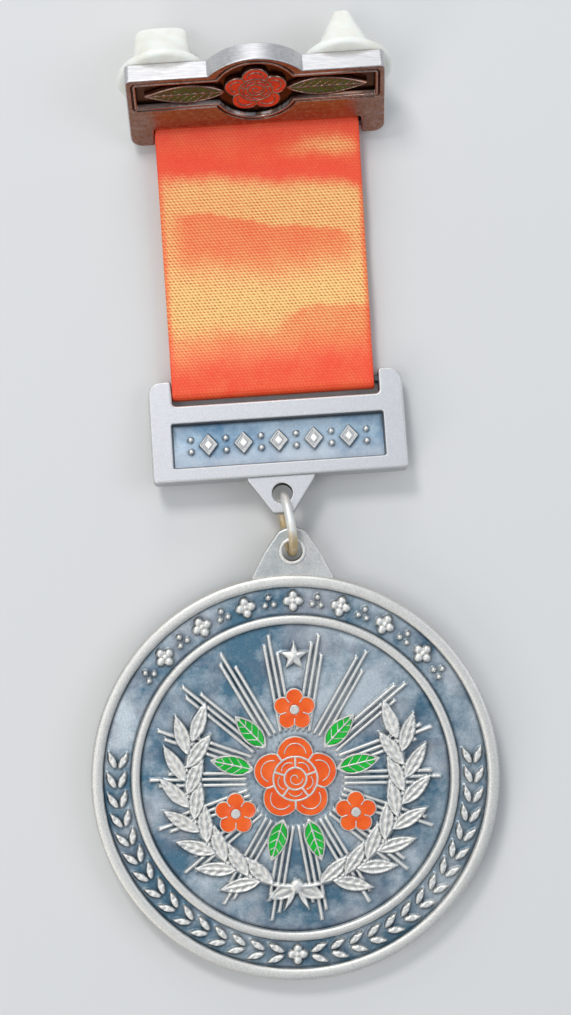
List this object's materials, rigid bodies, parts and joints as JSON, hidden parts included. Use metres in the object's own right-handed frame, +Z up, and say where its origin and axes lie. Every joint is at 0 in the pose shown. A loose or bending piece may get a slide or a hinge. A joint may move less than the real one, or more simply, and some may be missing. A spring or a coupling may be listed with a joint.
{
  "type": "enamelled breast jewel on a ribbon",
  "caption": "Round cast medal with enamel flowers on a jump ring, hung from a bar, a ribbon and a pin-back brooch bar, lying face up.",
  "frame": {"origin": "middle of the bounding box at the surface that the jewel lies on", "axes": "+Z up off the surface, +Y along the jewel from the medal to the brooch bar, +X to the wearer's left as the medal's face is read"},
  "size_m": [0.05, 0.1188, 0.0143],
  "materials": {
    "cast_silver": "antique silver plate on a zinc casting, satin relief, blue-black in the recesses",
    "ring_wire": "plated round wire, a little brassy below",
    "ribbon": "fine-ribbed satin ribbon, orange-red, with a soft sheen",
    "pin_caps": "soft ivory-white rubber, matt",
    "red_enamel": "soft enamel, orange-red, slightly sunk and glossy",
    "green_enamel": "soft enamel, bright green, slightly sunk and glossy"
  },
  "bodies": {
    "root": {"medal": "cast_silver", "lower_bar": "cast_silver", "brooch_bar": "cast_silver", "jump_ring": "ring_wire", "ribbon": "ribbon", "left_pin_cap": "pin_caps", "right_pin_cap": "pin_caps", "rose_heart": "red_enamel", "rose_outer_petal_1": "red_enamel", "rose_outer_petal_2": "red_enamel", "rose_outer_petal_3": "red_enamel", "rose_outer_petal_4": "red_enamel", "rose_outer_petal_5": "red_enamel", "rose_inner_petal_1": "red_enamel", "rose_inner_petal_2": "red_enamel", "rose_inner_petal_3": "red_enamel", "rose_inner_petal_4": "red_enamel", "rose_inner_petal_5": "red_enamel", "blossom_1": "red_enamel", "blossom_2": "red_enamel", "blossom_3": "red_enamel", "brooch_rose_heart": "red_enamel", "brooch_petal_1": "red_enamel", "brooch_petal_2": "red_enamel", "brooch_petal_3": "red_enamel", "brooch_petal_4": "red_enamel", "brooch_petal_5": "red_enamel", "green_leaf_1": "green_enamel", "green_leaf_2": "green_enamel", "green_leaf_3": "green_enamel", "green_leaf_4": "green_enamel", "green_leaf_5": "green_enamel", "green_leaf_6": "green_enamel", "brooch_leaf_left": "green_enamel", "brooch_leaf_right": "green_enamel"}
  },
  "joints": []
}
